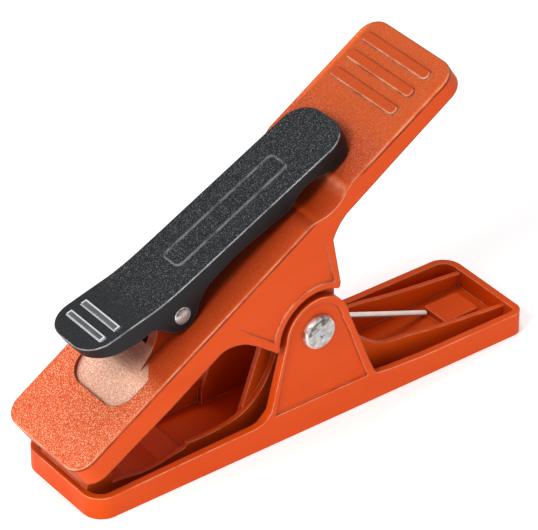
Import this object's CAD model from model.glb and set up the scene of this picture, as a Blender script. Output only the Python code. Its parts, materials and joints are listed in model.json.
"""Sprung clamp with a belt clip: its looks, its two wire springs and a small studio.

The lower arm lies along X with its back at the bottom, the jaw towards -X and the handle
towards +X. The upper arm is tilted about the jaw hinge, whose axis runs along Y, and the
belt clip lies over the upper arm's back. Upper arm and clip are laid out from the hinge in
u (along the upper arm, towards the handle), y (across) and w (out of its back).
"""
import bpy
import bmesh
import json
import math
from types import SimpleNamespace
from mathutils import Vector, Matrix


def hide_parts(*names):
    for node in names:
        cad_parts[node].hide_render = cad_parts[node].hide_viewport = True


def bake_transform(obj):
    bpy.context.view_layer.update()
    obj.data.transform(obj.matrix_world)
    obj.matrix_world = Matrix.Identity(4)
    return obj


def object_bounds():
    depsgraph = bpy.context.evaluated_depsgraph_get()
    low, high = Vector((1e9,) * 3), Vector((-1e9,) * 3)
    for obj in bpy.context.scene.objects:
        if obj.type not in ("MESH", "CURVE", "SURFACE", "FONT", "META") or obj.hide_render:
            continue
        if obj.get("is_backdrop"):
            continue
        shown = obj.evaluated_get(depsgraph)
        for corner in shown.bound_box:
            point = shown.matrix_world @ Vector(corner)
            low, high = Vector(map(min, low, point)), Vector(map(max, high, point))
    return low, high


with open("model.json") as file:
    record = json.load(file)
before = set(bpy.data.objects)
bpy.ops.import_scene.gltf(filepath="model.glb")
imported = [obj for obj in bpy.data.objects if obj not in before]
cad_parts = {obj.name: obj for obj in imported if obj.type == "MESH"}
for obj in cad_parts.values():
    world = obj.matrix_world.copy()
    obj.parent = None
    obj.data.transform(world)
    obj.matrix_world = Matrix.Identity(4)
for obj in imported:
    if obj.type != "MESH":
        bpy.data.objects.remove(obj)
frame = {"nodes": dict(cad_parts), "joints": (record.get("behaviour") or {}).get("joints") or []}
CAD_LO, CAD_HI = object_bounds()
NODES = frame["nodes"]
JOINTS = {joint["name"]: joint for joint in frame["joints"]}
MM = 0.001

TILT = math.radians(32.2)  # upper arm against the lower arm, at rest
U_AXIS = Vector((math.cos(TILT), 0, math.sin(TILT)))
W_AXIS = Vector((-math.sin(TILT), 0, math.cos(TILT)))
JAW_HINGE = Vector(JOINTS["jaw_hinge"]["pos_m"])
CLIP_HINGE = Vector(JOINTS["clip_hinge"]["pos_m"])
UPPER_BACK = 26.75  # w of the upper arm's back, mm

# arm outlines in plan, mm: half length, half width, corner radius
LOWER_PLAN = (63.3, 15.0, 5.2)
UPPER_PLAN = (63.3, 15.1, 5.0)


# ---------------------------------------------------------------------------
# shader building
# ---------------------------------------------------------------------------
class Shader:
    """A material's node tree. Helpers return sockets; bevel, bump, occlusion and *_mm take mm.

    A span is (value where the ramp starts, value where it ends); out gives the results there.
    """

    def __init__(self, name):
        self.material = bpy.data.materials.new(name)
        self.material.use_nodes = True
        self.tree = self.material.node_tree
        self.tree.nodes.clear()
        self.output = self.tree.nodes.new("ShaderNodeOutputMaterial")

    def node(self, kind, inputs=None, **settings):
        node = self.tree.nodes.new("ShaderNode" + kind)
        for key, value in settings.items():
            setattr(node, key, value)
        for key, value in (inputs or {}).items():
            if isinstance(value, bpy.types.NodeSocket):
                self.tree.links.new(value, node.inputs[key])
            else:
                node.inputs[key].default_value = value
        return node

    def math(self, operation, *values):
        return self.node("Math", dict(enumerate(values)), operation=operation).outputs[0]

    def fold(self, operation, result, *others):
        for value in others:
            result = self.math(operation, result, value)
        return result

    def mul(self, *values):
        return self.fold("MULTIPLY", *values)

    def add(self, *values):
        return self.fold("ADD", *values)

    def sub(self, a, b):
        return self.math("SUBTRACT", a, b)

    def max(self, *values):
        return self.fold("MAXIMUM", *values)

    def abs(self, value):
        return self.math("ABSOLUTE", value)

    def invert(self, mask):
        return self.sub(1.0, mask)

    def vector_math(self, operation, *values, out=0):
        values = dict(enumerate(values))
        return self.node("VectorMath", values, operation=operation).outputs[out]

    def dot(self, vector, direction):
        return self.vector_math("DOT_PRODUCT", vector, tuple(direction), out=1)

    def stretch(self, vector, factors):
        return self.vector_math("MULTIPLY", vector, factors)

    def offset_from(self, position, origin):
        return self.vector_math("SUBTRACT", position, tuple(origin))

    def split(self, vector):
        return self.node("SeparateXYZ", {"Vector": vector}).outputs

    def mix(self, fac, a, b):
        inputs = {0: fac, 6: a, 7: b}
        return self.node("Mix", inputs, data_type="RGBA", blend_type="MIX").outputs[2]

    def paint(self, under, colour, mask, opacity):
        return self.mix(self.mul(mask, opacity), under, colour)

    def ramp(self, value, span, out=(0.0, 1.0)):
        inputs = {"Value": value, "From Min": span[0], "From Max": span[1],
                  "To Min": out[0], "To Max": out[1]}
        return self.node("MapRange", inputs, interpolation_type="SMOOTHSTEP").outputs[0]

    def ramp_mm(self, value, span, out=(0.0, 1.0)):
        return self.ramp(value, (span[0] * MM, span[1] * MM), out)

    def band(self, value, start, end, soft):
        """1 between start and end, falling to 0 over soft outside them."""
        rise = self.ramp(value, (start - soft, start))
        fall = self.ramp(value, (end, end + soft), out=(1.0, 0.0))
        return self.mul(rise, fall)

    def band_mm(self, value, start, end, soft):
        return self.band(value, start * MM, end * MM, soft * MM)

    def noise(self, vector, scale, detail, rough, distortion=0.0):
        inputs = {"Vector": vector, "Scale": scale, "Detail": detail, "Roughness": rough,
                  "Distortion": distortion}
        return self.node("TexNoise", inputs).outputs[0]

    def position(self):
        return self.node("TexCoord").outputs["Object"]

    def geometry(self, output):
        return self.node("NewGeometry").outputs[output]

    def to_object(self, normal):
        return self.node("VectorTransform", {"Vector": normal}, vector_type="NORMAL",
                         convert_from="WORLD", convert_to="OBJECT").outputs[0]

    def facing(self, direction, span):
        """Mask of faces turned along direction; span is in cosines."""
        return self.ramp(self.dot(self.to_object(self.geometry("True Normal")), direction), span)

    def occlusion(self, reach, span, samples=5, local=False, inside=False):
        """About 1 deep in crevices or, with inside, along outside edges."""
        node = self.node("AmbientOcclusion", {"Distance": reach * MM}, samples=samples,
                         inside=inside, only_local=local)
        return self.ramp(self.invert(node.outputs["AO"]), span)

    def bevel(self, radius):
        return self.node("Bevel", {"Radius": radius * MM}, samples=4).outputs[0]

    def bump(self, height, distance, strength, normal=None):
        inputs = {"Height": height, "Distance": distance * MM, "Strength": strength}
        if normal is not None:
            inputs["Normal"] = normal
        return self.node("Bump", inputs).outputs[0]

    def finish(self, **inputs):
        inputs = {key.replace("_", " "): value for key, value in inputs.items()}
        surface = self.node("BsdfPrincipled", inputs)
        self.tree.links.new(surface.outputs[0], self.output.inputs[0])
        return self.material


def linear(value):
    value /= 255.0
    return value / 12.92 if value <= 0.04045 else ((value + 0.055) / 1.055) ** 2.4


def palette(**colours):
    """Named 8-bit sRGB colours as linear RGBA."""
    return SimpleNamespace(**{name: (*map(linear, rgb), 1.0) for name, rgb in colours.items()})


# ---------------------------------------------------------------------------
# masks and textures shared by the plastics
# ---------------------------------------------------------------------------
LIGHT_DIR = Vector((-0.60, -0.45, 0.66)).normalized()
NEAR_SIDE = (-0.58, -0.81, 0.0)  # level, towards the camera

# cosines to W_AXIS on a rolled edge: start, end, softness
ROLL_LIT = (0.50, 0.88, 0.10)
ROLL_DARK = (0.10, 0.44, 0.08)


def plan_inside(m, x, y, plan, fade):
    """0 at the outline of a rounded rectangle, rising to 1 between the fade depths (mm)."""
    half_x, half_y, radius = (size * MM for size in plan)
    from_x = m.sub(m.abs(x), half_x - radius)
    from_y = m.sub(m.abs(y), half_y - radius)
    out_x = m.max(from_x, 0.0)
    out_y = m.max(from_y, 0.0)
    outside = m.math("SQRT", m.add(m.mul(out_x, out_x), m.mul(out_y, out_y)))
    within = m.math("MINIMUM", m.max(from_x, from_y), 0.0)
    distance = m.sub(m.add(outside, within), radius)
    return m.ramp_mm(distance, (-fade[0], -fade[1]))


def edge_lines(m, width):
    """Masks of edges whose rounded normal has turned towards the light, and away from it."""
    rounded = m.bevel(width)
    turn = m.dot(m.vector_math("SUBTRACT", rounded, m.geometry("Normal")), LIGHT_DIR)
    return m.ramp(turn, (0.04, 0.30)), m.ramp(turn, (-0.03, -0.26))


def rolled_edge(m, width):
    """A rolled edge's cosine to W_AXIS, and the mask of its near side."""
    normal = m.to_object(m.bevel(width))
    return m.dot(normal, W_AXIS), m.ramp(m.dot(normal, NEAR_SIDE), (0.15, 0.45))


def grain_height(m, position, scales, smoothness, weights, base):
    """Spark-eroded texture; scales and weights are for pits, fine and coarse noise."""
    pits = m.node("TexVoronoi", {"Vector": position, "Scale": scales[0], "Randomness": 1.0,
                                 "Smoothness": smoothness}, feature="SMOOTH_F1").outputs[0]
    fine = m.noise(position, scales[1], detail=2.0, rough=0.6)
    coarse = m.noise(position, scales[2], detail=2.0, rough=0.5)
    layers = [m.mul(*pair) for pair in zip((pits, fine, coarse), weights)]
    return m.add(*layers, base)


def paint_edges(m, c, lit, shaded, wear, reach, colours, opacity):
    """Rubbed corners, then dark seams, then lit lines; opacity is given in that order."""
    corners = m.occlusion(reach, (0.18, 0.42), samples=6, local=True, inside=True)
    c = m.paint(c, colours.rubbed, m.mul(corners, wear), opacity[0])
    c = m.paint(c, colours.shaded, shaded, opacity[1])
    return m.paint(c, colours.lit, m.mul(lit, wear), opacity[2])


# ---------------------------------------------------------------------------
# arms
# ---------------------------------------------------------------------------
ARM = palette(
    base=(219, 75, 6), light=(232, 94, 22), deep=(188, 53, 2),
    grain_peak=(244, 184, 146), grain_pit=(180, 58, 26),
    crevice=(92, 24, 2), hollow=(122, 36, 2),
    rubbed=(255, 190, 150), shaded=(92, 24, 3), lit=(255, 196, 156),
    scoop=(255, 222, 196), tail=(146, 44, 4), well=(104, 28, 4), flank=(126, 36, 3),
    grip=(255, 116, 44), bar=(226, 84, 24), nose=(140, 42, 6), under_clip=(118, 32, 2))


def arm_plastic(m, position, grain):
    """Clouded orange with speckled grain: colour, grain height, speckle and flow marks."""
    height = grain_height(m, position, scales=(4300.0, 5000.0, 1100.0), smoothness=0.25,
                          weights=(0.65, 0.6, 0.14), base=0.10)
    flow = m.noise(m.stretch(position, (0.35, 1.0, 1.0)), scale=120.0, detail=4.0,
                   rough=0.55, distortion=0.6)
    cloud = m.noise(position, scale=38.0, detail=3.0, rough=0.5)
    c = m.mix(m.ramp(cloud, (0.3, 0.7), out=(0.0, 0.14)), ARM.base, ARM.light)
    c = m.mix(m.ramp(flow, (0.35, 0.75), out=(0.0, 0.14)), c, ARM.deep)
    speck = m.ramp(height, (0.62, 1.02))
    c = m.paint(c, ARM.grain_peak, grain, m.ramp(speck, (0.40, 0.95), out=(0.0, 0.74)))
    c = m.paint(c, ARM.grain_pit, grain, m.ramp(speck, (0.0, 0.50), out=(0.56, 0.0)))
    return c, height, speck, flow


def arm_hollows(m, c, position, inner):
    """Darken narrow corners and the depth of the tray; also returns the depth mask."""
    corners = m.occlusion(1.6, (0.25, 0.85), local=True)
    c = m.paint(c, ARM.crevice, corners, opacity=0.62)
    depth = m.occlusion(15.0, (0.12, 0.80), samples=6)
    streak = m.noise(m.stretch(position, (0.5, 1.0, 1.0)), scale=210.0, detail=3.0, rough=0.6)
    streak = m.ramp(streak, (0.3, 0.75), out=(0.86, 1.0))
    c = m.paint(c, ARM.hollow, m.mul(inner, depth), opacity=m.mul(streak, 0.66))
    return c, depth


def arm_finish(m, c, position, u, inner, lit, shaded, grain, height, flow):
    """Worn edges, roughness and relief."""
    wear = m.noise(position, scale=240.0, detail=3.0, rough=0.6)
    wear = m.ramp(wear, (0.36, 0.60), out=(0.35, 1.0))
    # lit lines fade inside the tray, most of all towards the handle
    lit = m.mul(lit, m.invert(m.mul(inner, m.ramp_mm(u, (0.0, 16.0), out=(0.15, 0.72)))))
    c = paint_edges(m, c, lit, shaded, wear, reach=0.42, colours=ARM,
                    opacity=(0.22, 0.85, 0.76))
    fine = m.noise(position, scale=1500.0, detail=2.0, rough=0.6)
    rough = m.add(m.mul(grain, 0.10), m.ramp(flow, (0.2, 0.8), out=(0.36, 0.5)),
                  m.mul(fine, 0.06))
    relief = m.mul(height, m.add(m.mul(grain, 0.93), 0.07))
    normal = m.bump(relief, distance=0.09, strength=0.85, normal=m.bevel(0.24))
    normal = m.bump(flow, distance=0.05, strength=0.35, normal=normal)
    return m.finish(Base_Color=c, Roughness=rough, Normal=normal,
                    Specular_IOR_Level=0.14, IOR=1.49)


def lower_arm_material():
    m = Shader("arm_orange_lower")
    position = m.position()
    x, y, z = m.split(position)
    grain = m.facing((0, 0, -1), (0.9, 0.98))
    # the handle's tray is open to the light, the jaw's is not
    inner = m.mul(plan_inside(m, x, y, LOWER_PLAN, fade=(0.12, 0.6)),
                  m.ramp_mm(z, (0.3, 1.0)),
                  m.ramp_mm(x, (4, 20), out=(1.0, 0.50)))
    c, height, _, flow = arm_plastic(m, position, grain)
    c, _ = arm_hollows(m, c, position, inner)
    lit, shaded = edge_lines(m, width=0.50)
    return arm_finish(m, c, position, x, inner, lit, shaded, grain, height, flow)


def paint_upper_zones(m, c, u, w, across, side, speck):
    """Tints of the upper arm's features; across is the distance from the middle plane."""
    # the thumb scoop's pale floor, carried up the block's ramp as it narrows to the block
    scoop = m.mul(m.band_mm(u, -46.4, -35.5, soft=0.8), m.ramp_mm(w, (26.74, 26.5)))
    limit = m.add(m.mul(m.max(m.sub(-33.2 * MM, u), 0.0), 1.15), 6.95 * MM)
    slope = m.mul(m.band_mm(u, -36.6, -31.0, soft=1.6),
                  m.ramp_mm(m.sub(across, limit), (0.3, -0.3)))
    scoop = m.max(scoop, m.mul(slope, m.ramp_mm(w, (26.0, 26.4))))
    scoop = m.mul(scoop, m.facing(W_AXIS, (0.55, 0.9)), m.ramp_mm(across, (11.0, 10.3)))
    c = m.paint(c, ARM.scoop, scoop, m.ramp(speck, (0.0, 1.0), out=(0.34, 0.95)))
    # the slope under the clip's tail stays out of the light
    tail = m.mul(m.band_mm(u, 15.0, 25.0, soft=3.5), m.facing(W_AXIS, (0.2, 0.5)))
    c = m.paint(c, ARM.tail, tail, opacity=0.62)
    # walls of the scoop, then of the raised block
    well = m.mul(m.band_mm(u, -47.3, -36.0, soft=0.3), m.band_mm(w, 25.0, 26.5, soft=0.15),
                 m.ramp_mm(across, (11.6, 11.2)), side)
    c = m.paint(c, ARM.well, well, opacity=0.82)
    flank = m.mul(m.band_mm(u, -37.5, -16.0, soft=0.6), m.ramp_mm(w, (26.6, 26.9)),
                  m.ramp_mm(across, (7.8, 7.3)), side)
    c = m.paint(c, ARM.flank, flank, opacity=0.72)
    # the handle's back, the raised bars on it, and the wall at the jaw's tip
    grip = m.mul(m.ramp_mm(u, (33, 43)), m.facing(W_AXIS, (0.5, 0.8)))
    c = m.paint(c, ARM.grip, grip, opacity=0.58)
    bar = m.mul(m.ramp_mm(w, (26.95, 27.25)), m.ramp_mm(u, (38, 42)))
    c = m.paint(c, ARM.bar, bar, opacity=0.55)
    return m.paint(c, ARM.nose, m.mul(m.ramp_mm(u, (-62.4, -62.9)), side), opacity=0.5)


def upper_edges(m, position, u, y, w, across, side):
    """Lit and dark lines, with the back's rolled edge and the seam below it."""
    lit, shaded = edge_lines(m, width=0.50)
    turn, near = rolled_edge(m, width=0.5)
    tip = m.ramp_mm(u, (-58.0, -61.0), out=(1.0, 1.7))
    roll_lit = m.mul(m.band(turn, *ROLL_LIT), near, tip)
    lit = m.max(m.mul(lit, 0.8), m.mul(roll_lit, 0.75))
    seam = m.mul(m.band_mm(w, 25.92, 26.32, soft=0.08),
                 m.invert(plan_inside(m, u, y, UPPER_PLAN, fade=(0.35, 0.8))),
                 side,
                 m.invert(m.band_mm(u, 16.0, 30.0, soft=1.5)))
    patches = m.noise(position, scale=180.0, detail=3.0, rough=0.6)
    patches = m.ramp(patches, (0.3, 0.6), out=(0.55, 1.0))
    roll_dark = m.mul(m.band(turn, *ROLL_DARK), near)
    shaded = m.max(shaded, m.mul(roll_dark, 0.8), m.mul(seam, patches))
    # no lit lines on the raised block
    block = m.mul(m.band_mm(u, -37.5, -15.0, soft=1.0), m.ramp_mm(across, (7.6, 7.1)))
    lit = m.math("MINIMUM", m.mul(lit, m.invert(block)), 1.25)
    return lit, shaded


def upper_arm_material():
    m = Shader("arm_orange_upper")
    position = m.position()
    y = m.split(position)[1]
    offset = m.offset_from(position, JAW_HINGE)
    u = m.dot(offset, U_AXIS)
    w = m.dot(offset, W_AXIS)
    grain = m.facing(W_AXIS, (0.86, 0.95))
    # the grain shows at the jaw's end and on the handle
    shown = m.add(m.ramp_mm(u, (-40, -33), out=(1.0, 0.16)),
                  m.ramp_mm(u, (20, 40), out=(0.0, 0.66)))
    inner = m.mul(plan_inside(m, u, y, UPPER_PLAN, fade=(0.5, 1.3)),
                  m.ramp_mm(w, (26.2, 25.6)))
    # the back and its hinge block, where the clip lies over them
    under_clip = m.mul(m.ramp_mm(w, (26.3, 26.6)), m.ramp_mm(u, (-40, -33)),
                       m.ramp_mm(m.abs(y), (15.3, 13.8), out=(0.35, 1.0)))
    c, height, speck, flow = arm_plastic(m, position, m.mul(grain, shown))
    across = m.abs(y)
    side = m.facing(W_AXIS, (0.62, 0.30))
    c = paint_upper_zones(m, c, u, w, across, side, speck)
    c, depth = arm_hollows(m, c, position, inner)
    shadow = m.mul(under_clip, m.max(m.ramp(depth, (0.0, 0.64)), 0.58))
    c = m.paint(c, ARM.under_clip, shadow, opacity=0.90)
    lit, shaded = upper_edges(m, position, u, y, w, across, side)
    return arm_finish(m, c, position, u, inner, lit, shaded, grain, height, flow)


# ---------------------------------------------------------------------------
# belt clip
# ---------------------------------------------------------------------------
CLIP = palette(
    base=(18, 19, 21), light=(26, 27, 30), grain_peak=(118, 121, 126), grain_pit=(9, 10, 11),
    bar_rim=(206, 208, 212), bar_core=(72, 73, 77), crevice=(8, 8, 9),
    rubbed=(150, 153, 158), shaded=(9, 9, 10), lit=(236, 238, 242))
BAR_STARTS = (-38.2, -34.2)  # u of the two thumb bars, mm
BAR_LENGTH = 1.7  # along u, mm


def thumb_bars(m, u, y, half_width, soft, inset=0.0):
    """Mask of both bars, drawn in at their u ends by inset."""
    bars = [m.band_mm(u, start + inset, start + BAR_LENGTH - inset, soft)
            for start in BAR_STARTS]
    return m.mul(m.max(*bars), m.ramp_mm(m.abs(y), (half_width, half_width - 0.15)))


def clip_edges(m, u, y):
    """Lit and dark lines; the moulded frame in the middle stays dim."""
    lit, shaded = edge_lines(m, width=0.38)
    turn, near = rolled_edge(m, width=0.55)
    lit = m.max(m.mul(lit, 0.5), m.mul(m.band(turn, *ROLL_LIT), near))
    across = m.abs(y)
    middle = m.mul(m.ramp_mm(across, (2.5, 2.2)), m.band_mm(u, -11.6, 19.6, soft=0.3))
    frame_lit = m.mul(m.invert(middle), m.ramp_mm(across, (6.4, 3.6), out=(0.0, 0.42)))
    rim = m.max(m.ramp_mm(across, (6.4, 7.2)), m.ramp_mm(u, (-33.0, -38.4)), frame_lit)
    return m.mul(lit, rim), shaded


def clip_material():
    m = Shader("clip_black")
    position = m.position()
    u = m.dot(m.offset_from(position, JAW_HINGE), U_AXIS)
    y = m.split(position)[1]
    # full grain on the long plate, a quarter of it around the thumb bars
    grain = m.mul(m.facing(W_AXIS, (0.86, 0.94)),
                  m.add(m.mul(m.ramp_mm(u, (-30, -24)), 0.75), 0.25))
    height = grain_height(m, position, scales=(3900.0, 4400.0, 900.0), smoothness=0.3,
                          weights=(0.7, 0.55, 0.10), base=0.08)
    cloud = m.noise(position, scale=60.0, detail=4.0, rough=0.55)
    c = m.mix(m.ramp(cloud, (0.3, 0.7), out=(0.0, 0.6)), CLIP.base, CLIP.light)
    speck = m.ramp(height, (0.60, 1.0))
    c = m.paint(c, CLIP.grain_peak, grain, m.ramp(speck, (0.60, 1.0), out=(0.0, 0.50)))
    c = m.paint(c, CLIP.grain_pit, grain, m.ramp(speck, (0.0, 0.45), out=(0.50, 0.0)))
    # the thumb bars have pale rims round darker tops
    bars = m.mul(thumb_bars(m, u, y, half_width=6.8, soft=0.12),
                 m.facing(W_AXIS, (0.5, 0.8)))
    cores = thumb_bars(m, u, y, half_width=6.35, soft=0.10, inset=0.35)
    c = m.paint(c, CLIP.bar_rim, bars, opacity=0.95)
    c = m.paint(c, CLIP.bar_core, m.mul(bars, cores),
                opacity=m.ramp(cloud, (0.2, 0.8), out=(0.86, 1.0)))
    crevice = m.occlusion(1.0, (0.2, 0.9), local=True)
    c = m.paint(c, CLIP.crevice, crevice, opacity=0.7)
    lit, shaded = clip_edges(m, u, y)
    wear = m.noise(position, scale=300.0, detail=3.0, rough=0.6)
    wear = m.ramp(wear, (0.3, 0.6), out=(0.35, 1.0))
    c = paint_edges(m, c, lit, shaded, wear, reach=0.40, colours=CLIP,
                    opacity=(0.20, 0.75, 0.92))
    rough = m.add(m.ramp(cloud, (0.2, 0.8), out=(0.38, 0.48)), m.mul(grain, 0.08))
    relief = m.mul(height, m.add(m.mul(grain, 0.94), 0.06))
    normal = m.bump(relief, distance=0.12, strength=0.9, normal=m.bevel(0.28))
    return m.finish(Base_Color=c, Roughness=rough, Normal=normal,
                    Specular_IOR_Level=0.22, IOR=1.5)


# ---------------------------------------------------------------------------
# steel parts and sleeve
# ---------------------------------------------------------------------------
STEEL = palette(
    plate=(190, 190, 188), washer=(196, 194, 190), blot=(132, 130, 126), dent=(228, 228, 226),
    room=(74, 52, 40), cap=(84, 56, 42), rim=(246, 244, 242), crevice=(60, 40, 30))
WIRE = palette(base=(252, 244, 236), blot=(222, 206, 192), die_line=(150, 132, 120),
               under=(74, 30, 12), crevice=(96, 56, 36))
SLEEVE = palette(base=(196, 194, 188), cloud=(176, 173, 165), crevice=(90, 70, 55))


def steel_material(name, centre, tint=STEEL.plate, smoothest=0.22, metallic=0.85,
                   head_radius=4.35 * MM, ring_depth=0.25):
    """Plated steel with faint rings round the Y axis through centre."""
    m = Shader(name)
    coords = m.node("TexCoord").outputs
    position = coords["Object"]
    flat = m.stretch(m.offset_from(position, centre), (1.0, 0.0, 1.0))
    radius = m.vector_math("LENGTH", flat, out=1)
    rings = m.node("CombineXYZ", {"X": radius, "Y": 0.0, "Z": 0.0}).outputs[0]
    rings = m.noise(rings, scale=5200.0, detail=3.0, rough=0.6)
    blots = m.noise(position, scale=620.0, detail=4.0, rough=0.6, distortion=0.4)
    dents = m.noise(position, scale=900.0, detail=2.0, rough=0.5)
    fine = m.noise(position, scale=4200.0, detail=2.0, rough=0.6)
    c = m.mix(m.ramp(blots, (0.35, 0.7), out=(0.0, 0.6)), tint, STEEL.blot)
    c = m.mix(m.ramp(dents, (0.52, 0.72), out=(0.0, 0.65)), c, STEEL.dent)
    # the dark surround of the room, met at low reflections
    height = m.split(coords["Reflection"])[2]
    height = m.add(height, m.mul(m.sub(dents, 0.5), 0.5))
    c = m.paint(c, STEEL.room, m.band(height, 0.30, 0.52, soft=0.16), opacity=0.72)
    # the head's upper front edge mirrors the dark arm above it; its rim is bright
    tilt = m.dot(flat, (-0.46, 0.0, 0.89))
    cap = m.band(tilt, 0.50 * head_radius, 0.86 * head_radius, soft=0.12 * head_radius)
    c = m.paint(c, STEEL.cap, cap, m.ramp(dents, (0.3, 0.7), out=(0.9, 0.35)))
    rim = m.mul(m.ramp(radius, (0.84 * head_radius, 0.92 * head_radius)),
                m.ramp(dents, (0.35, 0.6), out=(0.35, 1.0)))
    c = m.paint(c, STEEL.rim, rim, opacity=0.85)
    c = m.paint(c, STEEL.crevice, m.occlusion(0.7, (0.3, 0.9)), opacity=0.75)
    rough = m.add(m.ramp(blots, (0.25, 0.75), out=(smoothest, smoothest + 0.2)),
                  m.mul(fine, 0.08))
    relief = m.add(m.mul(dents, 0.7), m.mul(rings, ring_depth))
    normal = m.bump(relief, distance=0.10, strength=0.55, normal=m.bevel(0.16))
    return m.finish(Base_Color=c, Metallic=metallic, Roughness=rough, Normal=normal)


def wire_material():
    """Drawn spring wire: bright, with faint die lines along the wire."""
    m = Shader("spring_wire")
    position = m.position()
    uv = m.node("UVMap", uv_map="wire").outputs[0]
    lines = m.noise(m.stretch(uv, (3.0, 30.0, 1.0)), scale=1.0, detail=3.0, rough=0.6)
    blots = m.noise(position, scale=500.0, detail=3.0, rough=0.55)
    c = m.mix(m.ramp(blots, (0.35, 0.7), out=(0.0, 0.35)), WIRE.base, WIRE.blot)
    c = m.mix(m.ramp(lines, (0.55, 0.85), out=(0.0, 0.25)), c, WIRE.die_line)
    upward = m.split(m.geometry("Normal"))[2]
    c = m.mix(m.ramp(upward, (0.16, -0.22), out=(0.0, 0.86)), c, WIRE.under)
    c = m.paint(c, WIRE.crevice, m.occlusion(0.8, (0.55, 0.98)), opacity=0.5)
    return m.finish(Base_Color=c, Metallic=0.25, Emission_Color=c, Emission_Strength=0.22,
                    Roughness=m.ramp(lines, (0.3, 0.7), out=(0.22, 0.34)),
                    Normal=m.bump(lines, distance=0.012, strength=0.4))


def sleeve_material():
    m = Shader("sleeve_plain")
    position = m.position()
    cloud = m.noise(position, scale=300.0, detail=4.0, rough=0.55)
    fine = m.noise(position, scale=2500.0, detail=2.0, rough=0.6)
    c = m.mix(m.ramp(cloud, (0.3, 0.7)), SLEEVE.base, SLEEVE.cloud)
    c = m.paint(c, SLEEVE.crevice, m.occlusion(1.5, (0.3, 0.95), samples=8), opacity=0.6)
    return m.finish(Base_Color=c, Roughness=m.ramp(fine, (0.2, 0.8), out=(0.34, 0.48)),
                    Normal=m.bump(fine, distance=0.03, strength=0.5, normal=m.bevel(0.15)))


LOOKS = {
    "lower_arm": lower_arm_material(),
    "upper_arm": upper_arm_material(),
    "belt_clip": clip_material(),
    "pivot_rivet": steel_material("rivet_plated", JAW_HINGE),
    "rivet_washer": steel_material("washer_plated", JAW_HINGE, STEEL.washer, smoothest=0.3),
    "clip_pin": steel_material("pin_plated", CLIP_HINGE, metallic=0.55,
                               head_radius=2.2 * MM, ring_depth=0.0),
    "coil_sleeve": sleeve_material(),
}
for node_name, material in LOOKS.items():
    mesh = NODES[node_name].data
    mesh.materials.clear()
    mesh.materials.append(material)
    for polygon in mesh.polygons:
        polygon.use_smooth = True
    mesh.set_sharp_from_angle(angle=math.radians(28))


# ---------------------------------------------------------------------------
# springs: swept wire, so that they can wind up across their joints
# ---------------------------------------------------------------------------
WIRE_MATERIAL = wire_material()
WIRE_UV_LENGTH = 20 * MM  # wire length to one unit of u in the UV map
# rounded cut ends: distance beyond the cut and ring size, both in wire radii
END_RINGS = ((0.18, 0.93), (0.30, 0.72), (0.34, 0.35))
LEG_STEPS = 14
COIL_STEP = 6.0  # degrees
LEG_GAP = 0.06  # between a leg and the face it rests on, mm


def link(name, data):
    thing = bpy.data.objects.new(name, data)
    bpy.context.scene.collection.objects.link(thing)
    return thing


def wire_stations(points, radius):
    """(centre, tangent, ring scale, distance along) from one rounded end to the other."""
    last = len(points) - 1
    stations = []
    distance = 0.0
    for i, point in enumerate(points):
        if i:
            distance += (point - points[i - 1]).length
        tangent = (points[min(last, i + 1)] - points[max(0, i - 1)]).normalized()
        stations.append((point, tangent, 1.0, distance))

    def rounded_end(station, sign):
        point, tangent, _, along = station
        return [(point + tangent * sign * radius * beyond, tangent, scale,
                 along + sign * radius * beyond) for beyond, scale in END_RINGS]

    start = rounded_end(stations[0], -1)
    return start[::-1] + stations + rounded_end(stations[-1], 1)


def sweep_wire(name, points, radius, sides):
    """Round wire through the points, with a UV map along it."""
    bm = bmesh.new()
    uv_layer = bm.loops.layers.uv.new("wire")
    stations = wire_stations(points, radius)
    rings = []
    for centre, tangent, scale, _ in stations:
        out = tangent.cross(Vector((0, 1, 0)))
        out.normalize()
        over = out.cross(tangent).normalized()
        angles = [2 * math.pi * j / sides for j in range(sides)]
        rings.append([bm.verts.new(centre + (out * math.cos(a) + over * math.sin(a))
                                   * radius * scale) for a in angles])
    for i in range(len(rings) - 1):
        here, there = rings[i], rings[i + 1]
        u0, u1 = (stations[k][3] / WIRE_UV_LENGTH for k in (i, i + 1))
        for j in range(sides):
            k = (j + 1) % sides
            v0, v1 = j / sides, (j + 1) / sides
            face = bm.faces.new((here[j], there[j], there[k], here[k]))
            for loop, uv in zip(face.loops, ((u0, v0), (u1, v0), (u1, v1), (u0, v1))):
                loop[uv_layer].uv = uv
            face.smooth = True
    bm.faces.new(rings[0][::-1])
    bm.faces.new(rings[-1])
    bmesh.ops.recalc_face_normals(bm, faces=bm.faces[:])
    mesh = bpy.data.meshes.new(name)
    bm.to_mesh(mesh)
    bm.free()
    mesh.materials.append(WIRE_MATERIAL)
    return link(name, mesh)


def tangent_angle(hinge, radius, end, side):
    """Angle in degrees where a leg ending at end touches the coil on the given side."""
    dx, dz = end[0] - hinge.x, end[2] - hinge.z
    swing = math.degrees(math.acos(radius / math.hypot(dx, dz)))
    return math.degrees(math.atan2(dz, dx)) + side * swing


def leg(end, coil_point):
    return [end + (coil_point - end) * (j / LEG_STEPS) for j in range(LEG_STEPS)]


def spring_path(hinge, radius, ends, sides, turns, direction):
    """Leg, coil about Y through the hinge, leg; ends are (x, y, z)."""
    first, last = (tangent_angle(hinge, radius, *pair) for pair in zip(ends, sides))
    while (last - first) * direction < 0:
        last += 360 * direction
    last += 360 * turns * direction
    y_first, y_last = ends[0][1], ends[1][1]
    steps = int(abs(last - first) / COIL_STEP)
    coil = []
    for i in range(steps + 1):
        t = i / steps
        angle = math.radians(first + (last - first) * t)
        coil.append(Vector((hinge.x + radius * math.cos(angle), y_first + (y_last - y_first) * t,
                            hinge.z + radius * math.sin(angle))))
    return leg(Vector(ends[0]), coil[0]) + coil + leg(Vector(ends[1]), coil[-1])[::-1]


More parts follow.
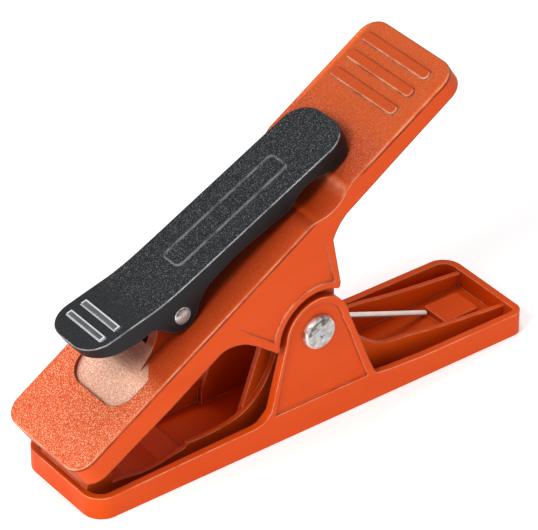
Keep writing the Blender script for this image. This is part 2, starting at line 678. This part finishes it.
def arm_point(u, y, w):
    point = JAW_HINGE + U_AXIS * (u * MM) + W_AXIS * (w * MM)
    return (point.x, y * MM, point.z)


def add_spring(piece, path, wire_radius, sides):
    """Sweep a spring and blend it between two bodies, from blend_y to -blend_y on its axis."""
    wire = sweep_wire(piece + "_wire", path, wire_radius * MM, sides)
    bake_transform(wire)
    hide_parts(piece)


MAIN_WIRE = 0.70  # wire radius, mm
MAIN_REACH = 46.8  # leg ends: x in the lower arm, u in the upper, mm
LOWER_FLOOR = 1.5  # z of the lower arm's tray floor, mm
UPPER_WALL = 1.4  # thickness of the upper arm's back, mm
main_ends = ((MAIN_REACH * MM, 3.2 * MM, (LOWER_FLOOR + MAIN_WIRE + LEG_GAP) * MM),
             arm_point(MAIN_REACH, -3.2, UPPER_BACK - UPPER_WALL - MAIN_WIRE - LEG_GAP))
main_path = spring_path(JAW_HINGE, 5.86 * MM, main_ends, sides=(-1, 1), turns=4, direction=-1)
add_spring("main_spring", main_path, MAIN_WIRE, sides=16)

CLIP_WIRE = 0.5  # wire radius, mm
clip_ends = (arm_point(-30.6, 3.4, 38.0),
             arm_point(-12.4, -3.4, UPPER_BACK + CLIP_WIRE + LEG_GAP))
clip_path = spring_path(CLIP_HINGE, 3.35 * MM, clip_ends, sides=(1, -1), turns=5, direction=1)
add_spring("clip_spring", clip_path, CLIP_WIRE, sides=12)


# ---------------------------------------------------------------------------
# stage: floor, light, camera
# ---------------------------------------------------------------------------
def add_floor():
    mesh = bpy.data.meshes.new("floor")
    bm = bmesh.new()
    bmesh.ops.create_grid(bm, x_segments=8, y_segments=8, size=3.0)
    bm.to_mesh(mesh)
    bm.free()
    floor = link("floor", mesh)
    floor.location = (0, 0, CAD_LO.z)
    m = Shader("floor_pale")
    cloud = m.noise(m.position(), scale=3.0, detail=2.0, rough=0.5)
    colour = m.mix(cloud, (0.93, 0.93, 0.93, 1), (0.95, 0.95, 0.95, 1))
    mesh.materials.append(m.finish(Base_Color=colour, Roughness=0.9, Specular_IOR_Level=0.1,
                                   Emission_Color=(1, 1, 1, 1), Emission_Strength=0.30))
    floor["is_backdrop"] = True


def add_light(name, target, offset, size, power):
    """Disk light at an offset from the target, aimed at it."""
    light = bpy.data.lights.new(name, "AREA")
    light.shape = "DISK"
    light.size = size
    light.energy = power
    lamp = link(name, light)
    lamp.location = target + Vector(offset)
    aim = target - (target + Vector(offset))
    lamp.rotation_euler = aim.to_track_quat("-Z", "Y").to_euler()


def add_camera():
    camera = bpy.data.cameras.new("cam")
    camera.sensor_width = 36.0
    camera.lens = 245.939554
    camera.clip_start = 0.05
    camera.clip_end = 20.0
    right = Vector((0.80009033, -0.59987809, -0.00131625))
    up = Vector((0.33860107, 0.44979742, 0.82645726))
    forward = Vector((0.49518156, 0.66168615, -0.56299793))
    turn = Matrix((right, up, -forward)).transposed()
    place = Vector((-424.1765, -562.699, 517.365)) * MM
    holder = link("cam", camera)
    holder.matrix_world = Matrix.Translation(place) @ turn.to_4x4()
    bpy.context.scene.camera = holder


low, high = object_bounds()
middle = (low + high) / 2
add_floor()

world = bpy.data.worlds.new("soft_white")
bpy.context.scene.world = world
world.use_nodes = True
background = world.node_tree.nodes["Background"].inputs
background["Color"].default_value = (1, 1, 1, 1)
background["Strength"].default_value = 0.40

add_light("key", middle, offset=(-0.58, -0.16, 0.48), size=0.30, power=3.8)
add_light("top", middle, offset=(-0.05, 0.25, 0.75), size=0.5, power=2.2)
add_light("fill", middle, offset=(0.15, -0.75, 0.25), size=0.6, power=1.0)
add_camera()

view = bpy.context.scene.view_settings
view.view_transform = "Standard"
view.look = "None"
view.exposure = 0.0

low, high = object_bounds()
